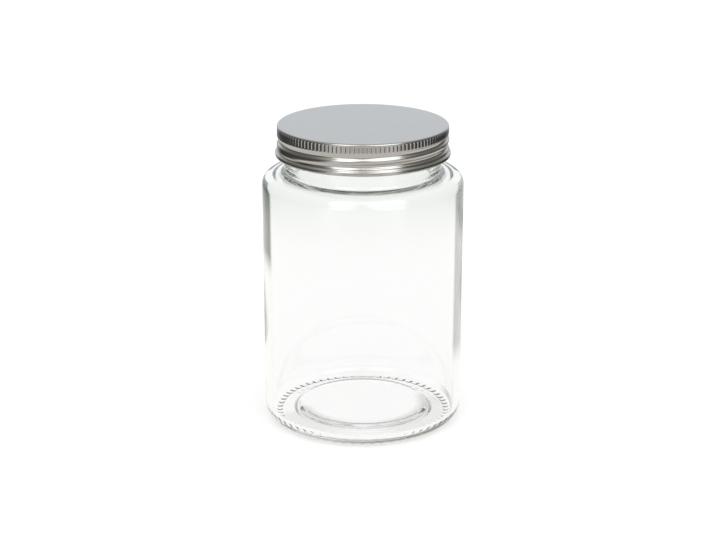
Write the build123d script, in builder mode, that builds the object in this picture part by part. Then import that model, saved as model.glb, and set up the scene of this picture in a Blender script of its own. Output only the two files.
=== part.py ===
"""Spice jar: a moulded glass jar, a pressed metal screw lid and the seal disc inside the lid.

Millimetres. The jar stands on z = 0 with its axis on Z, and its front faces -Y.
A positive turn of the lid about +Z unscrews it.
"""
from build123d import *
import math
import os

os.makedirs("parts", exist_ok=True)

# Glass jar, outside
body_radius = 35.0
body_height = 88.7
shoulder_width = 7.8
shoulder_rise = 1.7
shoulder_radius = 4.0
neck_height = 14.8
neck_root_radius = 1.8
heel_radius = 5.0
rim_radius = 0.9

# Glass jar, inside
body_wall = 2.6
neck_wall = 3.55
shoulder_wall = 2.0
inner_shoulder_rise = 0.95
floor_thickness = 2.4
floor_crown = 0.3
inner_shoulder_radius = 3.8
inner_neck_radius = 1.8
inner_heel_radius = 2.6

# Glass jar, base: a ring of short bars, which the jar stands on, round a push-up raised in both faces
bar_inset = 1.1
bar_reach = 2.6
bar_width = 1.1
bar_height = 0.3
bar_count = 60
bearing_width = 0.7
underside_width = 3.7
underside_rise = 0.2
push_up_rise = 1.55
push_up_slope_width = 2.0
push_up_crown = 0.15
push_up_rounding = 1.5
inner_push_up_inset = 0.4

# Right-hand screw thread: a ridge on the glass, and a groove rolled into the lid below it
pitch = 3.2
ridge_front_drop = 2.1
ridge_height = 1.5
ridge_root_half_width = 1.05
ridge_crest_half_width = 0.3
ridge_last_turn = 0.08
ridge_turns = 1.33
groove_half_width = 0.85
groove_floor_half_width = 0.25
groove_hem_gap = 0.4
groove_knurl_gap = 0.3
fade_turns = 0.2
thread_sink = 0.1
steps_per_turn = 24

# Clearances between the lid and the glass
thread_clearance = 0.65
rib_clearance = 1.05
thread_play = 0.3
hem_clearance = 0.4

# Lid: pressed and rolled sheet metal
sheet = 0.3
lid_height = 10.9
lid_corner_radius = 0.7
knurl_top_gap = 0.7
knurl_height = 2.3
knurl_depth = 0.2
knurl_flute_radius = 0.7
knurl_count = 124
hem_height = 2.0
hem_flare = 0.7
hem_flare_radius = 0.5
hem_roll_radius = 0.6
hem_flat = 0.05
hem_return = 1.2

# Seal disc between the glass rim and the lid
seal_thickness = 1.0
seal_gap = 0.05
seal_side_clearance = 0.45
seal_edge_radius = 0.25

# Every cut runs past the surface by this much
overrun = 0.6

# Worked out from the sizes above: glass
neck_radius = body_radius - shoulder_width
shoulder_height = body_height + shoulder_rise
rim_height = shoulder_height + neck_height
bore_radius = neck_radius - neck_wall
inner_radius = body_radius - body_wall
shoulder_slope = shoulder_rise / shoulder_width
inner_shoulder_height = body_height + shoulder_slope * body_wall - shoulder_wall
inner_neck_height = inner_shoulder_height + inner_shoulder_rise
underside_height = bar_height + underside_rise
push_up_height = underside_height + push_up_rise
floor_height = underside_height + floor_thickness
inner_push_up_height = floor_height + push_up_rise
heel_centre_radius = body_radius - heel_radius
bar_inner_radius = heel_centre_radius - bar_inset
bar_outer_radius = heel_centre_radius + bar_reach
bar_root_height = bar_height + heel_radius / 3
bearing_inner_radius = bar_inner_radius - bearing_width
push_up_foot_radius = bearing_inner_radius - underside_width
push_up_radius = push_up_foot_radius - push_up_slope_width
inner_foot_radius = push_up_foot_radius - inner_push_up_inset
inner_push_up_radius = push_up_radius - inner_push_up_inset
ridge_crest_radius = neck_radius + ridge_height
ridge_front_height = rim_height - ridge_front_drop
ridge_first_turn = ridge_last_turn - ridge_turns

# Worked out from the sizes above: lid
lid_top = rim_height + 2 * seal_gap + seal_thickness + sheet
lid_bottom = lid_top - lid_height
lid_inner_radius = ridge_crest_radius + thread_clearance
lid_radius = lid_inner_radius + sheet
sheet_middle_radius = lid_inner_radius + sheet / 2
knurl_inner_radius = lid_inner_radius - knurl_depth
knurl_bottom = lid_top - knurl_top_gap - knurl_height
hem_width = 2 * hem_roll_radius + hem_flat
hem_inner_radius = ridge_crest_radius + hem_clearance
hem_radius = hem_inner_radius + hem_width
hem_top = lid_bottom + hem_height
rib_crest_radius = neck_radius + rib_clearance
groove_floor_radius = rib_crest_radius + sheet
rib_half_width = groove_half_width + sheet / 2
rib_crest_half_width = groove_floor_half_width + sheet / 2
rib_flank = (rib_half_width - rib_crest_half_width) / (lid_inner_radius - rib_crest_radius)
rib_half_width_at_ridge = rib_crest_half_width + rib_flank * (ridge_crest_radius - rib_crest_radius)
groove_front_height = ridge_front_height - rib_half_width_at_ridge - ridge_crest_half_width - thread_play
groove_first_turn = (hem_top + groove_hem_gap - groove_front_height) / pitch
groove_last_turn = (knurl_bottom - groove_knurl_gap - groove_front_height) / pitch

# Worked out from the sizes above: seal
seal_radius = knurl_inner_radius - seal_side_clearance
seal_bottom = rim_height + seal_gap


def thread_sections(front_height, first_turn, last_turn, radii, half_widths):
    """Sections of a right-hand thread through the jar's axis, from its lower end to its upper end.

    radii are those of its back, of the wall that it crosses and of its crest, and half_widths
    are those at the wall and at the crest. Turns count from the front of the jar, where the
    thread's middle is at front_height. At both ends the crest runs back through the wall.
    """
    back_radius, wall_radius, crest_radius = radii
    wall_half_width, crest_half_width = half_widths
    flank = (wall_half_width - crest_half_width) / abs(wall_radius - crest_radius)
    back_half_width = wall_half_width + flank * abs(back_radius - wall_radius)
    end_radius = wall_radius + math.copysign(thread_sink, back_radius - wall_radius)
    step_count = round((last_turn - first_turn) * steps_per_turn)
    sections = []
    for step in range(step_count + 1):
        turn = first_turn + (last_turn - first_turn) * step / step_count
        from_end = min(turn - first_turn, last_turn - turn) / fade_turns
        fade = math.sin(min(from_end, 1) * math.pi / 2) ** 2
        back_half = back_half_width * (1 + fade) / 2
        crest_half = crest_half_width * (1 + fade) / 2
        crest = end_radius + (crest_radius - end_radius) * fade
        angle = 2 * math.pi * turn - math.pi / 2
        outward = (math.cos(angle), math.sin(angle), 0)
        along = (math.sin(angle), -math.cos(angle), 0)
        height = front_height + pitch * turn
        with BuildSketch(Plane(origin=(0, 0, height), x_dir=outward, z_dir=along)) as section:
            with BuildLine():
                Polyline(
                    (back_radius, -back_half),
                    (crest, -crest_half),
                    (crest, crest_half),
                    (back_radius, back_half),
                    close=True,
                )
            make_face()
        sections.append(section.sketch)
    return sections


# The ring that the bars are cut from follows the heel, a bar's height proud of it
with BuildPart() as bearing_bars:
    with BuildSketch(Plane.XZ):
        with BuildLine():
            bar_arc = CenterArc(
                (heel_centre_radius, heel_radius + bar_height),
                heel_radius + bar_height,
                -90,
                math.degrees(math.asin((bar_outer_radius - heel_centre_radius) / (heel_radius + bar_height))),
            )
            Polyline(
                bar_arc @ 1,
                (bar_outer_radius, bar_root_height),
                (bar_inner_radius, bar_root_height),
                (bar_inner_radius, 0),
                bar_arc @ 0,
            )
        make_face()
    revolve(axis=Axis.Z)
    bar_middle_radius = (bar_inner_radius + bar_outer_radius) / 2
    bar_pitch = 2 * math.pi * bar_middle_radius / bar_count
    with BuildSketch(Plane.XY):
        with PolarLocations(bar_middle_radius, bar_count, start_angle=180 / bar_count):
            Rectangle(bar_inset + bar_reach + overrun, bar_pitch - bar_width)
    extrude(amount=bar_root_height, mode=Mode.SUBTRACT)

with BuildPart() as glass_jar:
    with BuildSketch(Plane.XZ):
        with BuildLine():
            jar_outline = FilletPolyline(
                (0, push_up_height + push_up_crown),
                (push_up_radius, push_up_height),
                (push_up_foot_radius, underside_height),
                (bearing_inner_radius, bar_height),
                (body_radius, bar_height),
                (body_radius, body_height),
                (neck_radius, shoulder_height),
                (neck_radius, rim_height),
                (bore_radius, rim_height),
                (bore_radius, inner_neck_height),
                (inner_radius, inner_shoulder_height),
                (inner_radius, floor_height),
                (inner_foot_radius, floor_height),
                (inner_push_up_radius, inner_push_up_height),
                (0, inner_push_up_height + floor_crown),
                radius=[
                    push_up_rounding,
                    push_up_rounding,
                    0,
                    heel_radius,
                    shoulder_radius,
                    neck_root_radius,
                    rim_radius,
                    rim_radius,
                    inner_neck_radius,
                    inner_shoulder_radius,
                    inner_heel_radius,
                    push_up_rounding,
                    push_up_rounding,
                ],
            )
            Line(jar_outline @ 1, jar_outline @ 0)
        make_face()
    revolve(axis=Axis.Z)
    add(bearing_bars.part)
    loft(
        thread_sections(
            ridge_front_height,
            ridge_first_turn,
            ridge_last_turn,
            (neck_radius - neck_wall / 4, neck_radius, ridge_crest_radius),
            (ridge_root_half_width, ridge_crest_half_width),
        )
    )
glass_jar.part.label = "glass_jar"
export_step(glass_jar.part, "parts/glass_jar.step")

with BuildPart() as lid_shell:
    # The sheet: flat top, straight skirt, and a hem that flares out and rolls back inwards
    with BuildSketch(Plane.XZ):
        with BuildLine():
            FilletPolyline(
                (0, lid_top),
                (lid_radius, lid_top),
                (lid_radius, hem_top),
                (hem_radius, hem_top - hem_flare),
                (hem_radius, lid_bottom),
                (hem_inner_radius, lid_bottom),
                (hem_inner_radius, lid_bottom + hem_return),
                radius=[
                    lid_corner_radius,
                    hem_flare_radius,
                    hem_flare_radius,
                    hem_roll_radius,
                    hem_roll_radius,
                ],
            )
            offset(amount=sheet, side=Side.RIGHT)
        make_face()
    revolve(axis=Axis.Z)
    # The rolled thread: a rib inside the skirt, then the groove behind it
    loft(
        thread_sections(
            groove_front_height,
            groove_first_turn,
            groove_last_turn,
            (lid_radius - sheet / 3, lid_inner_radius, rib_crest_radius),
            (rib_half_width, rib_crest_half_width),
        )
    )
    loft(
        thread_sections(
            groove_front_height,
            groove_first_turn,
            groove_last_turn,
            (lid_radius + overrun, lid_radius, groove_floor_radius),
            (groove_half_width, groove_floor_half_width),
        ),
        mode=Mode.SUBTRACT,
    )
    # The knurled band: thick enough for its flutes
    with BuildSketch(Plane.XY.offset(knurl_bottom)):
        Circle(sheet_middle_radius)
        Circle(knurl_inner_radius, mode=Mode.SUBTRACT)
    extrude(amount=knurl_height)
    with BuildSketch(Plane.XY.offset(knurl_bottom)):
        with PolarLocations(lid_radius - knurl_depth + knurl_flute_radius, knurl_count):
            Circle(knurl_flute_radius)
    extrude(amount=knurl_height, mode=Mode.SUBTRACT)
lid_shell.part.label = "lid_shell"
export_step(lid_shell.part, "parts/lid_shell.step")

with BuildPart() as sealing_liner:
    with BuildSketch(Plane.XY.offset(seal_bottom)):
        Circle(seal_radius)
    extrude(amount=seal_thickness)
    fillet(sealing_liner.edges(), radius=seal_edge_radius)
sealing_liner.part.label = "sealing_liner"
export_step(sealing_liner.part, "parts/sealing_liner.step")
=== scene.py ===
"""Looks of the spice jar: moulded glass, a rolled tinplate screw lid and the seal disc inside it.

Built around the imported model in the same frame: metres, base at z = 0, front facing -Y.
Sizes are written in millimetres, as on the part's drawing, and mm() turns them to metres.
"""

import math

import bpy
import numpy as np
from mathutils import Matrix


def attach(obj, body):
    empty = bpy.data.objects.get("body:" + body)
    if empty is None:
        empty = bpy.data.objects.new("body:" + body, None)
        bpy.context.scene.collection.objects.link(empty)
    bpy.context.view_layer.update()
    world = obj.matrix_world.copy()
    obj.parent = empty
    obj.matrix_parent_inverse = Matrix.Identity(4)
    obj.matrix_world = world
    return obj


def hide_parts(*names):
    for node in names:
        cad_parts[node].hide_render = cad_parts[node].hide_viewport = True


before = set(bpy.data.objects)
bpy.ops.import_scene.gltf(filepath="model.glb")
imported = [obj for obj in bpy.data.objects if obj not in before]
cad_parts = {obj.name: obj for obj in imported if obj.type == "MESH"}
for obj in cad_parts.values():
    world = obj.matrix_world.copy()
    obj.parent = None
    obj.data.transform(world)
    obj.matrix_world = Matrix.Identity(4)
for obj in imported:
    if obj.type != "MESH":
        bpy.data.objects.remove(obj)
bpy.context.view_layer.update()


def mm(length):
    return length * 0.001


# Glass jar: outside, then inside
BODY_RADIUS = 35.0
BODY_HEIGHT = 88.7
NECK_RADIUS = 27.2
SHOULDER_HEIGHT = 90.4
RIM_HEIGHT = 105.2
BORE_RADIUS = 23.65
INNER_RADIUS = 32.4
INNER_NECK_HEIGHT = 88.22
INNER_SHOULDER_HEIGHT = 87.27
FLOOR_HEIGHT = 2.9
FLOOR_CROWN = 0.3
HEEL_ROUNDING = 5.0
SHOULDER_ROUNDING = 4.0
NECK_ROOT_ROUNDING = 1.8
RIM_ROUNDING = 0.9
INNER_NECK_ROUNDING = 1.8
INNER_SHOULDER_ROUNDING = 3.8
INNER_HEEL_ROUNDING = 2.6
THREADED_NECK = (RIM_HEIGHT - 7, RIM_HEIGHT - 0.5)
STRAIGHT_WALL = (6, BODY_HEIGHT - 4.5)
RIPPLE_DEPTH = 0.008
WAVE_FADE = 12

# Base: a push-up raised in both faces inside a ring of short bars
PUSH_UP_RISE = 1.55
PUSH_UP_CROWN = 0.15
PUSH_UP_RADIUS = 22.5
PUSH_UP_FOOT_RADIUS = 24.5
PUSH_UP_INSET = 0.4
PUSH_UP_ROUNDING = 1.5
UNDERSIDE_HEIGHT = 0.5
BEARING_RADIUS = 28.2
BEARING_ROUNDING = 1.2
BAR_HEIGHT = 0.3
BAR_INNER_RADIUS = 28.9
BAR_OUTER_RADIUS = 32.6
BAR_INNER_END = 0.6
BAR_OUTER_END = 1.7
BAR_COUNT = 60
BAR_TOP = 1.2
UNDERSIDE_TOP = 1.7

# Screw thread: a ridge on the glass, a groove rolled into the lid
PITCH = 3.2
RIDGE_HEIGHT = 1.5
RIDGE_HALF_WIDTH = 1.05
RIDGE_CREST_SHARE = 0.29
RIDGE_FRONT_HEIGHT = 103.1
RIDGE_TURNS = (-1.25, 0.08)
GROOVE_DEPTH = 0.7
GROOVE_LOWER_WIDTH = 1.2
GROOVE_UPPER_WIDTH = 1.95
GROOVE_FRONT_HEIGHT = 101.85
GROOVE_TURNS = (-1.1733, 0.45)
FADE_TURNS = 0.2

# Lid of 0.3 mm sheet
SHEET = 0.3
LID_RADIUS = 29.65
LID_TOP = 106.6
LID_BOTTOM = 95.7
HEM_RADIUS = 30.35
HEM_INNER_RADIUS = 29.1
HEM_TOP = 97.7
HEM_FLARE_HEIGHT = 97.0
HEM_RETURN_HEIGHT = 96.9
LID_CORNER_ROUNDING = 0.7
HEM_FLARE_ROUNDING = 0.5
HEM_ROLL_ROUNDING = 0.6
KNURL_LOW = 103.6
KNURL_HIGH = 105.9
KNURL_DEPTH = 0.2
KNURL_COUNT = 124
KNURL_FLUTE_SHARE = 0.22
KNURL_LOWER_RUNOUT = 0.4
KNURL_UPPER_RUNOUT = 0.2
SKIRT_SWELL = 0.1
SWELL_BLEND = 1.2
GROOVE_TOP = KNURL_LOW + 0.1
GROOVE_BLEND = 0.5
HEM_BLEND = 0.9

# Seal disc, pressed in a little where the glass rim bears on it
SEAL_RADIUS = 28.7
SEAL_LOW = 105.25
SEAL_HIGH = 106.25
SEAL_PRINT_DEPTH = 0.12
SEAL_PRINT_ROUNDING = 0.2
SEAL_EDGE_ROUNDING = 0.25

# Mesh: sides round each piece, the longest run between its rings, and how near counts as on a face
GLASS_SIDES = BAR_COUNT * 16
LID_SIDES = KNURL_COUNT * 12
SEAL_SIDES = 192
BAR_SPACING = 0.2
PUSH_UP_SPACING = 0.35
THREAD_SPACING = 0.2
SKIRT_SPACING = 0.18
SKIRT_INSIDE_SPACING = 0.36
COARSE_SPACING = 1.5
ON_FACE = 0.01


# Outlines and turned meshes

def rounded_outline(corners):
    """Outline points from corners (radius, height, rounding): an arc at each rounded corner."""
    points = []
    for k, (r, z, rounding) in enumerate(corners):
        corner = np.array((r, z), float)
        if rounding == 0:
            points.append(corner)
            continue
        to_last = np.array(corners[k - 1][:2], float) - corner
        to_next = np.array(corners[k + 1][:2], float) - corner
        to_last /= np.linalg.norm(to_last)
        to_next /= np.linalg.norm(to_next)
        half_angle = math.acos(np.clip(to_last @ to_next, -1, 1)) / 2
        bisector = (to_last + to_next) / np.linalg.norm(to_last + to_next)
        centre = corner + bisector * rounding / math.sin(half_angle)
        start = corner + to_last * rounding / math.tan(half_angle) - centre
        end = corner + to_next * rounding / math.tan(half_angle) - centre
        first = math.atan2(start[1], start[0])
        sweep = (math.atan2(end[1], end[0]) - first + math.pi) % (2 * math.pi) - math.pi
        steps = max(4, math.ceil(abs(sweep) / math.radians(6)))
        for s in range(steps + 1):
            a = first + sweep * s / steps
            points.append(centre + rounding * np.array((math.cos(a), math.sin(a))))
    return np.array(points)


def divided(points, longest):
    """The outline with points added, so that no run is longer than longest(radius, height)."""
    out = [points[0]]
    for a, b in zip(points[:-1], points[1:]):
        middle = (a + b) / 2
        runs = max(1, math.ceil(np.linalg.norm(b - a) / longest(*middle)))
        out.extend(a + (b - a) * k / runs for k in range(1, runs + 1))
    return np.array(out)


def turned(name, outline, sides, shape=None):
    """A closed body turned from an outline that starts and ends on the axis.

    shape(r, z, angle) returns the radius and height of every point of the rings, in mm.
    """
    rings = outline[1:-1]
    angle = np.arange(sides) * 2 * math.pi / sides
    r = np.repeat(rings[:, :1], sides, 1)
    z = np.repeat(rings[:, 1:], sides, 1)
    angle = np.repeat(angle[None, :], len(rings), 0)
    if shape:
        r, z = shape(r, z, angle)
    points = np.stack((r * np.cos(angle), r * np.sin(angle), z), -1).reshape(-1, 3)
    points = np.vstack((points, (0, 0, outline[0][1]), (0, 0, outline[-1][1])))
    row = np.arange(len(rings) - 1)[:, None] * sides
    here = np.arange(sides)
    after = (here + 1) % sides
    quads = np.stack((row + here, row + after, row + sides + after, row + sides + here), -1)
    first, last = len(points) - 2, len(points) - 1
    top = (len(rings) - 1) * sides
    caps = [(first, b, a) for a, b in zip(here, after)]
    caps += [(last, top + a, top + b) for a, b in zip(here, after)]
    faces = quads.reshape(-1, 4).tolist() + [tuple(int(v) for v in f) for f in caps]
    mesh = bpy.data.meshes.new(name)
    mesh.from_pydata(mm(points).tolist(), [], faces)
    mesh.shade_smooth()
    mesh.validate()
    piece = bpy.data.objects.new(name, mesh)
    bpy.context.scene.collection.objects.link(piece)
    return piece


def smooth(x):
    """0 below 0, 1 above 1, and a soft step between them."""
    x = np.clip(x, 0, 1)
    return x * x * (3 - 2 * x)


def thread_height(z, angle, front_height, turns, widths, crest_share):
    """How much of a screw thread's full height stands at each point, 0 to 1.

    widths are those of its lower and upper flank, from its middle.
    """
    share = np.zeros_like(z)
    from_front = (angle / (2 * math.pi) + 0.25) % 1
    for lap in range(math.floor(turns[0]) - 1, math.ceil(turns[1]) + 1):
        turn = from_front + lap
        fade = np.clip(np.minimum(turn - turns[0], turns[1] - turn) / FADE_TURNS, 0, 1)
        fade = np.sin(fade * math.pi / 2) ** 2
        off = z - front_height - PITCH * turn
        off = np.abs(off) / (np.where(off < 0, widths[0], widths[1]) * (0.5 + 0.5 * fade))
        share = np.maximum(share, fade * smooth((1 - off) / (1 - crest_share)))
    return share


# The pieces' shapes

GLASS_OUTLINE = rounded_outline((
    (0, UNDERSIDE_HEIGHT + PUSH_UP_RISE + PUSH_UP_CROWN, 0),
    (PUSH_UP_RADIUS, UNDERSIDE_HEIGHT + PUSH_UP_RISE, PUSH_UP_ROUNDING),
    (PUSH_UP_FOOT_RADIUS, UNDERSIDE_HEIGHT, PUSH_UP_ROUNDING),
    (BEARING_RADIUS, BAR_HEIGHT, BEARING_ROUNDING),
    (BODY_RADIUS, BAR_HEIGHT, HEEL_ROUNDING),
    (BODY_RADIUS, BODY_HEIGHT, SHOULDER_ROUNDING),
    (NECK_RADIUS, SHOULDER_HEIGHT, NECK_ROOT_ROUNDING),
    (NECK_RADIUS, RIM_HEIGHT, RIM_ROUNDING),
    (BORE_RADIUS, RIM_HEIGHT, RIM_ROUNDING),
    (BORE_RADIUS, INNER_NECK_HEIGHT, INNER_NECK_ROUNDING),
    (INNER_RADIUS, INNER_SHOULDER_HEIGHT, INNER_SHOULDER_ROUNDING),
    (INNER_RADIUS, FLOOR_HEIGHT, INNER_HEEL_ROUNDING),
    (PUSH_UP_FOOT_RADIUS - PUSH_UP_INSET, FLOOR_HEIGHT, PUSH_UP_ROUNDING),
    (PUSH_UP_RADIUS - PUSH_UP_INSET, FLOOR_HEIGHT + PUSH_UP_RISE, PUSH_UP_ROUNDING),
    (0, FLOOR_HEIGHT + PUSH_UP_RISE + FLOOR_CROWN, 0),
))


def glass_spacing(r, z):
    """Rings lie close on the bars, on the push-up's slope and on the thread."""
    if z < BAR_TOP and r > BEARING_RADIUS:
        return BAR_SPACING
    if z < FLOOR_HEIGHT + PUSH_UP_RISE and r > PUSH_UP_RADIUS - 2:
        return PUSH_UP_SPACING
    if r > BORE_RADIUS + 1 and THREADED_NECK[0] < z < THREADED_NECK[1]:
        return THREAD_SPACING
    return COARSE_SPACING


def glass_shape(r, z, angle):
    """The bars and the thread ridge, and the slight unevenness of a blown wall."""
    underside = (z < UNDERSIDE_TOP) & (r > BEARING_RADIUS)
    inner_end = smooth((r - BAR_INNER_RADIUS) / BAR_INNER_END)
    outer_end = smooth((BAR_OUTER_RADIUS - r) / BAR_OUTER_END)
    along = 0.5 + 0.5 * np.cos(BAR_COUNT * angle)
    bar = BAR_HEIGHT * along * inner_end * outer_end * underside
    heel_lean = np.clip((r - (BODY_RADIUS - HEEL_ROUNDING)) / HEEL_ROUNDING, 0, 1)
    z_new = z - bar * np.sqrt(1 - heel_lean ** 2)
    r_new = r + bar * heel_lean
    neck = (r > NECK_RADIUS - ON_FACE) & (z > SHOULDER_HEIGHT + 3)
    widths = (RIDGE_HALF_WIDTH, RIDGE_HALF_WIDTH)
    ridge = thread_height(z, angle, RIDGE_FRONT_HEIGHT, RIDGE_TURNS, widths, RIDGE_CREST_SHARE)
    r_new = r_new + RIDGE_HEIGHT * ridge * neck
    # Blown glass settles unevenly: long waves on the inner wall, hardly any outside
    inside = (r > INNER_RADIUS - 8) & (r < INNER_RADIUS + ON_FACE) & (z > FLOOR_HEIGHT - 0.5)
    inside &= ~((z > INNER_NECK_HEIGHT - 4) & (r < INNER_RADIUS - 0.05))
    reach = smooth((z - FLOOR_HEIGHT - 1) / WAVE_FADE)
    reach = reach * smooth((INNER_SHOULDER_HEIGHT + 1 - z) / WAVE_FADE)
    wave = (
        0.10 * np.sin(2 * angle + 0.9 + z * 0.021)
        + 0.06 * np.sin(3 * angle - 0.4 + z * 0.082)
        + 0.03 * np.sin(z * 0.23 + 2.1 * np.sin(angle + 0.7))
    )
    r_new = r_new + wave * reach * inside
    low, high = STRAIGHT_WALL
    outside = (r > BODY_RADIUS - ON_FACE) & (z > low) & (z < high)
    reach = smooth((z - low) / WAVE_FADE) * smooth((high - z) / WAVE_FADE)
    ripple = RIPPLE_DEPTH * (np.sin(4 * angle + z * 0.11) * np.sin(z * 0.19 + angle) - 1)
    r_new = r_new + ripple * reach * outside
    return r_new, z_new


# Inside the flare, the sheet's inner corners lie this much below the outer ones
FLARE_DROP = SHEET * 0.4

LID_OUTLINE = np.vstack((
    rounded_outline((
        (0, LID_TOP, 0),
        (LID_RADIUS, LID_TOP, LID_CORNER_ROUNDING),
        (LID_RADIUS, HEM_TOP, HEM_FLARE_ROUNDING),
        (HEM_RADIUS, HEM_FLARE_HEIGHT, HEM_FLARE_ROUNDING),
        (HEM_RADIUS, LID_BOTTOM, HEM_ROLL_ROUNDING),
        (HEM_INNER_RADIUS, LID_BOTTOM, HEM_ROLL_ROUNDING),
        (HEM_INNER_RADIUS, HEM_RETURN_HEIGHT, 0),
    )),
    rounded_outline((
        (HEM_INNER_RADIUS + SHEET, HEM_RETURN_HEIGHT, 0),
        (HEM_INNER_RADIUS + SHEET, LID_BOTTOM + SHEET, HEM_ROLL_ROUNDING - SHEET),
        (HEM_RADIUS - SHEET, LID_BOTTOM + SHEET, HEM_ROLL_ROUNDING - SHEET),
        (HEM_RADIUS - SHEET, HEM_FLARE_HEIGHT - FLARE_DROP, HEM_FLARE_ROUNDING - SHEET),
        (LID_RADIUS - SHEET, HEM_TOP - FLARE_DROP, HEM_FLARE_ROUNDING + SHEET),
        (LID_RADIUS - SHEET, LID_TOP - SHEET, LID_CORNER_ROUNDING - SHEET),
        (0, LID_TOP - SHEET, 0),
    )),
))


def lid_spacing(r, z):
    """Rings lie close on the skirt, closest on its outside."""
    if HEM_TOP < z < LID_TOP - 0.2:
        if r > LID_RADIUS - SHEET / 2:
            return SKIRT_SPACING
        if r > HEM_INNER_RADIUS - 0.5:
            return SKIRT_INSIDE_SPACING
    return COARSE_SPACING


def lid_shape(r, z, angle):
    """The rolled thread on both faces of the skirt, and the knurled band's flutes."""
    outside = np.abs(r - LID_RADIUS) < ON_FACE
    skirt = outside | (np.abs(r - LID_RADIUS + SHEET) < ON_FACE)
    above_hem = smooth((z - HEM_TOP) / HEM_BLEND)
    below_knurl = smooth((GROOVE_TOP - z) / GROOVE_BLEND)
    widths = (GROOVE_LOWER_WIDTH, GROOVE_UPPER_WIDTH)
    groove = thread_height(z, angle, GROOVE_FRONT_HEIGHT, GROOVE_TURNS, widths, 0.0) * below_knurl
    swell = SKIRT_SWELL * smooth((KNURL_LOW - z) / SWELL_BLEND)
    r_new = r + (swell - GROOVE_DEPTH * groove) * above_hem * skirt
    # The knurl: V flutes with flat lands between them
    across = np.abs((KNURL_COUNT * angle / (2 * math.pi) + 0.5) % 1 - 0.5)
    depth = KNURL_DEPTH * np.clip(1 - across / KNURL_FLUTE_SHARE, 0, 1)
    band = smooth((z - KNURL_LOW + KNURL_LOWER_RUNOUT) / KNURL_LOWER_RUNOUT)
    band = band * smooth((KNURL_HIGH - z) / KNURL_UPPER_RUNOUT)
    return r_new - depth * band * outside, z


SEAL_OUTLINE = rounded_outline((
    (0, SEAL_LOW, 0),
    (BORE_RADIUS - 0.3, SEAL_LOW, SEAL_PRINT_ROUNDING),
    (BORE_RADIUS + 0.2, SEAL_LOW + SEAL_PRINT_DEPTH, SEAL_PRINT_ROUNDING),
    (NECK_RADIUS - 0.2, SEAL_LOW + SEAL_PRINT_DEPTH, SEAL_PRINT_ROUNDING),
    (NECK_RADIUS + 0.3, SEAL_LOW, SEAL_PRINT_ROUNDING),
    (SEAL_RADIUS, SEAL_LOW, SEAL_EDGE_ROUNDING),
    (SEAL_RADIUS, SEAL_HIGH, SEAL_EDGE_ROUNDING),
    (0, SEAL_HIGH, 0),
))

glass_rings = divided(GLASS_OUTLINE, glass_spacing)
glass_jar = turned("glass_jar_moulded", glass_rings, GLASS_SIDES, glass_shape)
lid_rings = divided(LID_OUTLINE, lid_spacing)[::-1]
lid = turned("lid_rolled_sheet", lid_rings, LID_SIDES, lid_shape)
seal_rings = divided(SEAL_OUTLINE, lambda r, z: COARSE_SPACING)
seal = turned("sealing_liner_disc", seal_rings, SEAL_SIDES)


# Materials

def linear(hex_colour):
    """An sRGB hex colour as linear red, green, blue and 1."""
    def channel(v):
        v /= 255
        return v / 12.92 if v <= 0.04045 else ((v + 0.055) / 1.055) ** 2.4
    return tuple(channel(int(hex_colour[k:k + 2], 16)) for k in (1, 3, 5)) + (1.0,)


def add(tree, kind, inputs=None, **settings):
    """Adds one node: its settings, then its inputs, each a value or another node's output."""
    node = tree.nodes.new(kind)
    for key, value in settings.items():
        setattr(node, key, value)
    for key, value in (inputs or {}).items():
        if isinstance(value, bpy.types.NodeSocket):
            tree.links.new(value, node.inputs[key])
        else:
            node.inputs[key].default_value = value
    return node


def set_stops(ramp, stops):
    """Sets a colour ramp's stops, each a position and a hex colour."""
    for k, (position, tone) in enumerate(stops):
        stop = ramp.elements[k] if k < 2 else ramp.elements.new(position)
        stop.position = position
        stop.color = linear(tone)


def new_material(name):
    material = bpy.data.materials.new(name)
    material.use_nodes = True
    material.node_tree.nodes.clear()
    return material, material.node_tree


def gathered_glass(tree, z):
    """The glass gathers towards the shoulder and neck, and tints a little there."""
    gathered = add(
        tree,
        "ShaderNodeMapRange",
        {"Value": z, "From Min": mm(60), "From Max": mm(88)},
        interpolation_type="SMOOTHSTEP",
    )
    colour = add(
        tree,
        "ShaderNodeMix",
        {"Factor": gathered.outputs["Result"], "A": linear("#FDFDFD"), "B": linear("#F8FAF8")},
        data_type="RGBA",
    )
    return colour.outputs["Result"]


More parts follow.
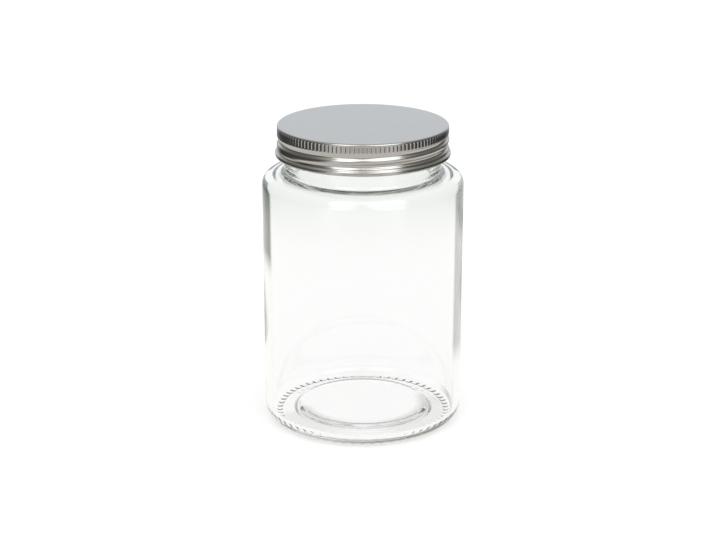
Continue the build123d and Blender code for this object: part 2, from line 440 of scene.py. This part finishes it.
def painted_wall_edge_shade(tree, colour, facing, radius, x, z):
    """Painted shade where the outer wall is seen edge on: its colour turns grey-green there.

    The painted shade is darkest on the left, and reaches lower down on the right.
    """
    edge_on = add(
        tree,
        "ShaderNodeMapRange",
        {"Value": facing, "From Min": 0.60, "From Max": 0.66},
        interpolation_type="SMOOTHSTEP",
    )
    outer_wall = add(
        tree,
        "ShaderNodeMath",
        {0: radius, 1: mm(BODY_RADIUS - 1)},
        operation="GREATER_THAN",
    )
    edge = add(
        tree,
        "ShaderNodeMath",
        {0: edge_on.outputs["Result"], 1: outer_wall.outputs["Value"]},
        operation="MULTIPLY",
    )
    # The painted shade's upper band starts lower down on the right
    lean = add(tree, "ShaderNodeMath", {0: x, 1: 0.5, 2: z}, operation="MULTIPLY_ADD")
    painted_band = add(
        tree,
        "ShaderNodeMapRange",
        {"Value": lean.outputs["Value"], "From Min": mm(38), "From Max": mm(48)},
        interpolation_type="SMOOTHSTEP",
    )
    to_right = add(
        tree,
        "ShaderNodeMapRange",
        {"Value": x, "From Min": mm(-10), "From Max": mm(10)},
    )
    # Painted shade colour: darkest on the left, greyer on the right
    painted_band_colour = add(
        tree,
        "ShaderNodeMix",
        {"Factor": to_right.outputs["Result"], "A": linear("#3C443D"), "B": linear("#8A938D")},
        data_type="RGBA",
    )
    edge_colour = add(
        tree,
        "ShaderNodeMix",
        {
            "Factor": painted_band.outputs["Result"],
            "A": linear("#F2F5F2"),
            "B": painted_band_colour.outputs["Result"],
        },
        data_type="RGBA",
    )
    shaded = add(
        tree,
        "ShaderNodeMix",
        {"Factor": edge.outputs["Value"], "A": colour, "B": edge_colour.outputs["Result"]},
        data_type="RGBA",
    )
    return shaded.outputs["Result"]


def painted_heel_line(tree, colour, facing, radius, x, z):
    """Painted shade: the heel's edge is painted as a thin dark line, which runs further up on the
    right.
    """
    edge_on = add(
        tree,
        "ShaderNodeMapRange",
        {"Value": facing, "From Min": 0.36, "From Max": 0.56},
        interpolation_type="SMOOTHSTEP",
    )
    outer_heel = add(
        tree,
        "ShaderNodeMapRange",
        {"Value": radius, "From Min": mm(BODY_RADIUS - 3.8), "From Max": mm(BODY_RADIUS - 3.2)},
    )
    edge = add(
        tree,
        "ShaderNodeMath",
        {0: edge_on.outputs["Result"], 1: outer_heel.outputs["Result"]},
        operation="MULTIPLY",
    )
    lean = add(tree, "ShaderNodeMath", {0: x, 1: -0.07, 2: z}, operation="MULTIPLY_ADD")
    above = add(
        tree,
        "ShaderNodeMapRange",
        {"Value": lean.outputs["Value"], "From Min": mm(2.0), "From Max": mm(3.6)},
        interpolation_type="SMOOTHSTEP",
    )
    edge_colour = add(
        tree,
        "ShaderNodeMix",
        {"Factor": above.outputs["Result"], "A": linear("#767C76"), "B": colour},
        data_type="RGBA",
    )
    # Painted shade colour mixed in along the heel's edge
    shaded = add(
        tree,
        "ShaderNodeMix",
        {"Factor": edge.outputs["Value"], "A": colour, "B": edge_colour.outputs["Result"]},
        data_type="RGBA",
    )
    return shaded.outputs["Result"]


def push_up_painted_shade(tree, colour, radius, x, y, z):
    """Painted shade round the push-up's slope.

    The shade is strongest on both sides of the front, and runs a little out to the bars.
    """
    over_floor = add(
        tree,
        "ShaderNodeMapRange",
        {"Value": radius, "From Min": mm(18), "From Max": mm(31)},
    )
    across_slope = add(tree, "ShaderNodeValToRGB", {"Fac": over_floor.outputs["Result"]})
    set_stops(across_slope.color_ramp, (
        (0.05, "#000000"),
        (0.29, "#E9E9E9"),
        (0.51, "#B2B2B2"),
        (0.85, "#B2B2B2"),
        (0.96, "#000000"),
    ))
    above_underside = add(
        tree,
        "ShaderNodeMath",
        {0: z, 1: mm(FLOOR_HEIGHT - 0.2)},
        operation="GREATER_THAN",
    )
    below_wall = add(
        tree,
        "ShaderNodeMath",
        {0: z, 1: mm(FLOOR_HEIGHT + PUSH_UP_RISE + 1)},
        operation="LESS_THAN",
    )
    inner_floor = add(
        tree,
        "ShaderNodeMath",
        {0: above_underside.outputs["Value"], 1: below_wall.outputs["Value"]},
        operation="MULTIPLY",
    )
    floor_shade = add(
        tree,
        "ShaderNodeMath",
        {0: across_slope.outputs["Color"], 1: inner_floor.outputs["Value"]},
        operation="MULTIPLY",
    )
    sideways = add(tree, "ShaderNodeMath", {0: x}, operation="ABSOLUTE")
    to_sides = add(
        tree,
        "ShaderNodeMapRange",
        {"Value": sideways.outputs["Value"], "From Max": mm(17), "To Min": 0.3},
        interpolation_type="SMOOTHSTEP",
    )
    lean = add(tree, "ShaderNodeMath", {0: x, 1: -0.3, 2: y}, operation="MULTIPLY_ADD")
    to_front = add(
        tree,
        "ShaderNodeMapRange",
        {
            "Value": lean.outputs["Value"],
            "From Min": mm(-3),
            "From Max": mm(3),
            "To Min": 1.0,
            "To Max": 0.0,
        },
        interpolation_type="SMOOTHSTEP",
    )
    side_shade = add(
        tree,
        "ShaderNodeMath",
        {0: to_sides.outputs["Result"], 1: to_front.outputs["Result"]},
        operation="MULTIPLY",
    )
    shade = add(
        tree,
        "ShaderNodeMath",
        {0: floor_shade.outputs["Value"], 1: side_shade.outputs["Value"]},
        operation="MULTIPLY",
    )
    # Painted shade colour mixed in where the shade mask lies
    shaded = add(
        tree,
        "ShaderNodeMix",
        {"Factor": shade.outputs["Value"], "A": colour, "B": linear("#98A199")},
        data_type="RGBA",
    )
    return shaded.outputs["Result"]


def moulded_clear_glass():
    """Soda-lime container glass, blown in a mould: clear and bright, with a faint green tint of
    iron.

    Its grey-green edges, the heel's dark line and the shade round the push-up are painted shade.
    """
    material, tree = new_material("moulded_clear_glass")
    facing = add(tree, "ShaderNodeLayerWeight", {"Blend": 0.5}).outputs["Facing"]
    place = add(tree, "ShaderNodeTexCoord")
    x, y, z = add(tree, "ShaderNodeSeparateXYZ", {"Vector": place.outputs["Object"]}).outputs
    level = add(tree, "ShaderNodeCombineXYZ", {"X": x, "Y": y, "Z": 0.0})
    from_axis = add(
        tree,
        "ShaderNodeVectorMath",
        {0: level.outputs["Vector"]},
        operation="LENGTH",
    )
    radius = from_axis.outputs["Value"]
    colour = gathered_glass(tree, z)
    colour = painted_wall_edge_shade(tree, colour, facing, radius, x, z)
    colour = painted_heel_line(tree, colour, facing, radius, x, z)
    colour = push_up_painted_shade(tree, colour, radius, x, y, z)
    surface = add(
        tree,
        "ShaderNodeBsdfPrincipled",
        {"Base Color": colour, "Roughness": 0.0, "IOR": 1.52, "Transmission Weight": 1.0},
    )
    add(tree, "ShaderNodeOutputMaterial", {"Surface": surface.outputs["BSDF"]})
    return material


def rolled_tinplate():
    """Bright tinplate, cold rolled and pressed: it mirrors the room, softened by rolling lines.

    It is a neutral light grey, a little hazy from handling.
    """
    material, tree = new_material("rolled_tinplate")
    place = add(tree, "ShaderNodeTexCoord")
    # Real rolling lines are about 0.05 mm apart and many mm long. They are drawn 0.25 mm apart,
    # to show in a render.
    lines_per_metre = 1 / mm(0.25)
    line_scale = (lines_per_metre / 60, lines_per_metre, lines_per_metre / 8)
    stretched = add(
        tree,
        "ShaderNodeMapping",
        {"Vector": place.outputs["Object"], "Scale": line_scale},
    )
    lines = add(
        tree,
        "ShaderNodeTexNoise",
        {"Vector": stretched.outputs["Vector"], "Scale": 1.0, "Detail": 3.0, "Roughness": 0.6},
    )
    roughness = add(
        tree,
        "ShaderNodeMapRange",
        {
            "Value": lines.outputs["Fac"],
            "From Min": 0.3,
            "From Max": 0.7,
            "To Min": 0.15,
            "To Max": 0.22,
        },
    )
    # Handling haze: soft patches about 15 mm across
    haze = add(
        tree,
        "ShaderNodeTexNoise",
        {"Vector": place.outputs["Object"], "Scale": 1 / mm(15), "Detail": 2.0},
    )
    colour = add(
        tree,
        "ShaderNodeMix",
        {"Factor": haze.outputs["Fac"], "A": linear("#AFAEAD"), "B": linear("#B3B2B1")},
        data_type="RGBA",
    )
    bump = add(
        tree,
        "ShaderNodeBump",
        {"Height": lines.outputs["Fac"], "Strength": 0.02, "Distance": mm(0.02)},
    )
    surface = add(
        tree,
        "ShaderNodeBsdfPrincipled",
        {
            "Base Color": colour.outputs["Result"],
            "Metallic": 1.0,
            "Roughness": roughness.outputs["Result"],
            "Normal": bump.outputs["Normal"],
        },
    )
    add(tree, "ShaderNodeOutputMaterial", {"Surface": surface.outputs["BSDF"]})
    return material


def foamed_seal():
    """Foamed polyethylene, cut from sheet: matt off-white with fine closed cells."""
    material, tree = new_material("foamed_seal")
    place = add(tree, "ShaderNodeTexCoord")
    cells = add(
        tree,
        "ShaderNodeTexVoronoi",
        {"Vector": place.outputs["Object"], "Scale": 1 / mm(0.35)},
    )
    colour = add(
        tree,
        "ShaderNodeMix",
        {"Factor": cells.outputs["Distance"], "A": linear("#D9D8D2"), "B": linear("#E9E8E3")},
        data_type="RGBA",
    )
    bump = add(
        tree,
        "ShaderNodeBump",
        {"Height": cells.outputs["Distance"], "Strength": 0.3, "Distance": mm(0.05)},
    )
    surface = add(
        tree,
        "ShaderNodeBsdfPrincipled",
        {
            "Base Color": colour.outputs["Result"],
            "Roughness": 0.6,
            "IOR": 1.5,
            "Normal": bump.outputs["Normal"],
        },
    )
    add(tree, "ShaderNodeOutputMaterial", {"Surface": surface.outputs["BSDF"]})
    return material


glass_jar.data.materials.append(moulded_clear_glass())
lid.data.materials.append(rolled_tinplate())
seal.data.materials.append(foamed_seal())

for piece, body, node_name, slot_name in (
    (glass_jar, "jar", "glass_jar", "glass"),
    (lid, "lid", "lid_shell", "lid_metal"),
    (seal, "seal", "sealing_liner", "seal"),
):
    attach(piece, body)
    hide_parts(node_name)


# Floor, light and camera

def mirrored_ray(tree, ray):
    """1 for a mirrored ray, else 0. A ray that glass lets through counts as glossy too."""
    is_mirrored = add(
        tree,
        "ShaderNodeMath",
        {0: ray.outputs["Is Glossy Ray"], 1: ray.outputs["Is Transmission Ray"]},
        operation="GREATER_THAN",
    )
    return is_mirrored.outputs["Value"]


def painted_table_reflection(tree):
    """A painted reflection for what metal mirrors of the floor: a white sheet on a darker table,
    painted as lit from the front.
    """
    place = add(tree, "ShaderNodeTexCoord")
    at = add(tree, "ShaderNodeSeparateXYZ", {"Vector": place.outputs["Object"]})
    away = add(tree, "ShaderNodeVectorMath", {0: place.outputs["Object"]}, operation="LENGTH")
    front = add(
        tree,
        "ShaderNodeMath",
        {0: at.outputs["Y"], 1: away.outputs["Value"]},
        operation="DIVIDE",
    )
    # Round the table from the front, -1: grey, then a painted glow below a lamp, then dark
    around = add(
        tree,
        "ShaderNodeMapRange",
        {"Value": front.outputs["Value"], "From Min": -1.0, "From Max": 1.0},
    )
    table = add(tree, "ShaderNodeValToRGB", {"Fac": around.outputs["Result"]})
    set_stops(table.color_ramp, (
        (0.0, "#D2CCC1"),
        (0.04, "#D2CCC1"),
        (0.07, "#F2F2F2"),
        (0.12, "#F2F2F2"),
        (0.17, "#98958F"),
        (0.24, "#434441"),
        (0.88, "#363734"),
        (0.96, "#B5B5B5"),
    ))
    sheet_edge = add(
        tree,
        "ShaderNodeMath",
        {0: at.outputs["X"], 1: 0.35, 2: at.outputs["Y"]},
        operation="MULTIPLY_ADD",
    )
    off_sheet = add(
        tree,
        "ShaderNodeMapRange",
        {"Value": sheet_edge.outputs["Value"], "From Min": mm(220), "From Max": mm(270)},
        interpolation_type="SMOOTHSTEP",
    )
    past_sheet = add(
        tree,
        "ShaderNodeMapRange",
        {"Value": away.outputs["Value"], "From Min": mm(240), "From Max": mm(340)},
        interpolation_type="SMOOTHSTEP",
    )
    beyond = add(
        tree,
        "ShaderNodeMath",
        {0: off_sheet.outputs["Result"], 1: past_sheet.outputs["Result"]},
        operation="MAXIMUM",
    )
    mirrored = add(
        tree,
        "ShaderNodeMix",
        {"Factor": beyond.outputs["Value"], "A": linear("#EFEBE3"), "B": table.outputs["Color"]},
        data_type="RGBA",
    )
    return mirrored.outputs["Result"]


def seen_floor(tree, ray):
    """The eye sees paint with a shadow on it; glass shows the same floor nearly unshaded."""
    paint_colour = add(
        tree,
        "ShaderNodeMix",
        {
            "Factor": ray.outputs["Is Transmission Ray"],
            "A": (0.4, 0.4, 0.4, 1.0),
            "B": (0.04, 0.04, 0.04, 1.0),
        },
        data_type="RGBA",
    )
    paint = add(tree, "ShaderNodeBsdfDiffuse", {"Color": paint_colour.outputs["Result"]})
    lift_seen = add(
        tree,
        "ShaderNodeMath",
        {0: ray.outputs["Is Camera Ray"], 1: 0.6},
        operation="MULTIPLY",
    )
    lift_through = add(
        tree,
        "ShaderNodeMath",
        {0: ray.outputs["Is Transmission Ray"], 1: 0.96, 2: lift_seen.outputs["Value"]},
        operation="MULTIPLY_ADD",
    )
    lift = add(tree, "ShaderNodeEmission", {"Strength": lift_through.outputs["Value"]})
    seen = add(
        tree,
        "ShaderNodeAddShader",
        {0: paint.outputs["BSDF"], 1: lift.outputs["Emission"]},
    )
    return seen.outputs["Shader"]


def pale_floor():
    """A plain pale floor that keeps the jar's soft shadow."""
    material, tree = new_material("pale_floor")
    ray = add(tree, "ShaderNodeLightPath")
    # Mirrored rays see the painted table reflection as a glow instead of the floor
    glow = add(tree, "ShaderNodeEmission", {"Color": painted_table_reflection(tree), "Strength": 1.25})
    surface = add(
        tree,
        "ShaderNodeMixShader",
        {0: mirrored_ray(tree, ray), 1: seen_floor(tree, ray), 2: glow.outputs["Emission"]},
    )
    add(tree, "ShaderNodeOutputMaterial", {"Surface": surface.outputs["Shader"]})
    return material


floor_mesh = bpy.data.meshes.new("floor")
floor_mesh.from_pydata([(-6, -6, 0), (6, -6, 0), (6, 6, 0), (-6, 6, 0)], [], [(0, 1, 2, 3)])
floor = bpy.data.objects.new("floor", floor_mesh)
floor_mesh.materials.append(pale_floor())
bpy.context.scene.collection.objects.link(floor)


def studio_world():
    """A white wall behind the jar and pale light all round it.

    Polished metal mirrors more of the room: the wall only straight behind the jar, dimmer light
    in front of and above it, and darkness to the sides.
    """
    world = bpy.data.worlds.new("studio")
    bpy.context.scene.world = world
    world.use_nodes = True
    tree = world.node_tree
    tree.nodes.clear()
    ray = add(tree, "ShaderNodeLightPath")
    place = add(tree, "ShaderNodeTexCoord")
    direction = add(tree, "ShaderNodeSeparateXYZ", {"Vector": place.outputs["Generated"]})
    sideways = add(tree, "ShaderNodeMath", {0: direction.outputs["X"]}, operation="ABSOLUTE")
    to_side = add(
        tree,
        "ShaderNodeMapRange",
        {"Value": sideways.outputs["Value"], "From Min": 0.5, "From Max": 0.8},
        interpolation_type="SMOOTHSTEP",
    )
    to_wall = add(
        tree,
        "ShaderNodeMapRange",
        {"Value": direction.outputs["Y"], "From Min": 0.74, "From Max": 0.88},
        interpolation_type="SMOOTHSTEP",
    )
    overhead = add(
        tree,
        "ShaderNodeMapRange",
        {
            "Value": direction.outputs["Z"],
            "From Min": 0.6,
            "From Max": 0.9,
            "To Min": 1.0,
            "To Max": 0.95,
        },
        interpolation_type="SMOOTHSTEP",
    )
    room = add(
        tree,
        "ShaderNodeMix",
        {"Factor": to_side.outputs["Result"], "A": linear("#DAD8CE"), "B": linear("#7E7F7A")},
        data_type="RGBA",
    )
    mirrored = add(
        tree,
        "ShaderNodeMix",
        {"Factor": to_wall.outputs["Result"], "A": room.outputs["Result"], "B": linear("#F6FBFF")},
        data_type="RGBA",
    )
    seen_through = add(
        tree,
        "ShaderNodeMix",
        {"Factor": ray.outputs["Is Transmission Ray"], "A": 1.0, "B": overhead.outputs["Result"]},
    )
    colour = add(
        tree,
        "ShaderNodeMix",
        {
            "Factor": mirrored_ray(tree, ray),
            "A": seen_through.outputs["Result"],
            "B": mirrored.outputs["Result"],
        },
        data_type="RGBA",
    )
    light = add(tree, "ShaderNodeBackground", {"Color": colour.outputs["Result"], "Strength": 1.0})
    add(tree, "ShaderNodeOutputWorld", {"Surface": light.outputs["Background"]})


studio_world()


def softbox(name, azimuth, elevation, distance, size, watts):
    """An area lamp that points 60 mm above the jar's foot.

    Azimuth is from the front, positive to the right.
    """
    lamp = bpy.data.lights.new(name, "AREA")
    lamp.shape = "RECTANGLE"
    lamp.size, lamp.size_y = size
    lamp.energy = watts
    lamp_object = bpy.data.objects.new(name, lamp)
    a, e = math.radians(azimuth), math.radians(elevation)
    away = np.array((math.sin(a) * math.cos(e), -math.cos(a) * math.cos(e), math.sin(e)))
    lamp_object.location = distance * away + (0, 0, mm(60))
    lamp_object.rotation_euler = (math.pi / 2 - e, 0, a)
    bpy.context.scene.collection.objects.link(lamp_object)
    return lamp_object


softbox("softbox_left", -29, 47, 1.1, (0.46, 0.92), 2.9)
softbox("softbox_right", 35, 47, 1.1, (0.7, 0.92), 3.9)

# The photograph's camera, fitted to the jar's outlines
camera_data = bpy.data.cameras.new("camera")
camera_data.lens = 94.96
camera_data.sensor_width = 36
camera = bpy.data.objects.new("camera", camera_data)
camera.location = (0, -0.6332, 0.26246)
camera.rotation_euler = (math.radians(90 - 18.271), 0, 0.0027)
bpy.context.scene.collection.objects.link(camera)
bpy.context.scene.camera = camera

scene = bpy.context.scene
scene.view_settings.view_transform = "Standard"
scene.cycles.use_denoising = True
scene.cycles.max_bounces = 32
scene.cycles.transmission_bounces = 32
scene.cycles.glossy_bounces = 16
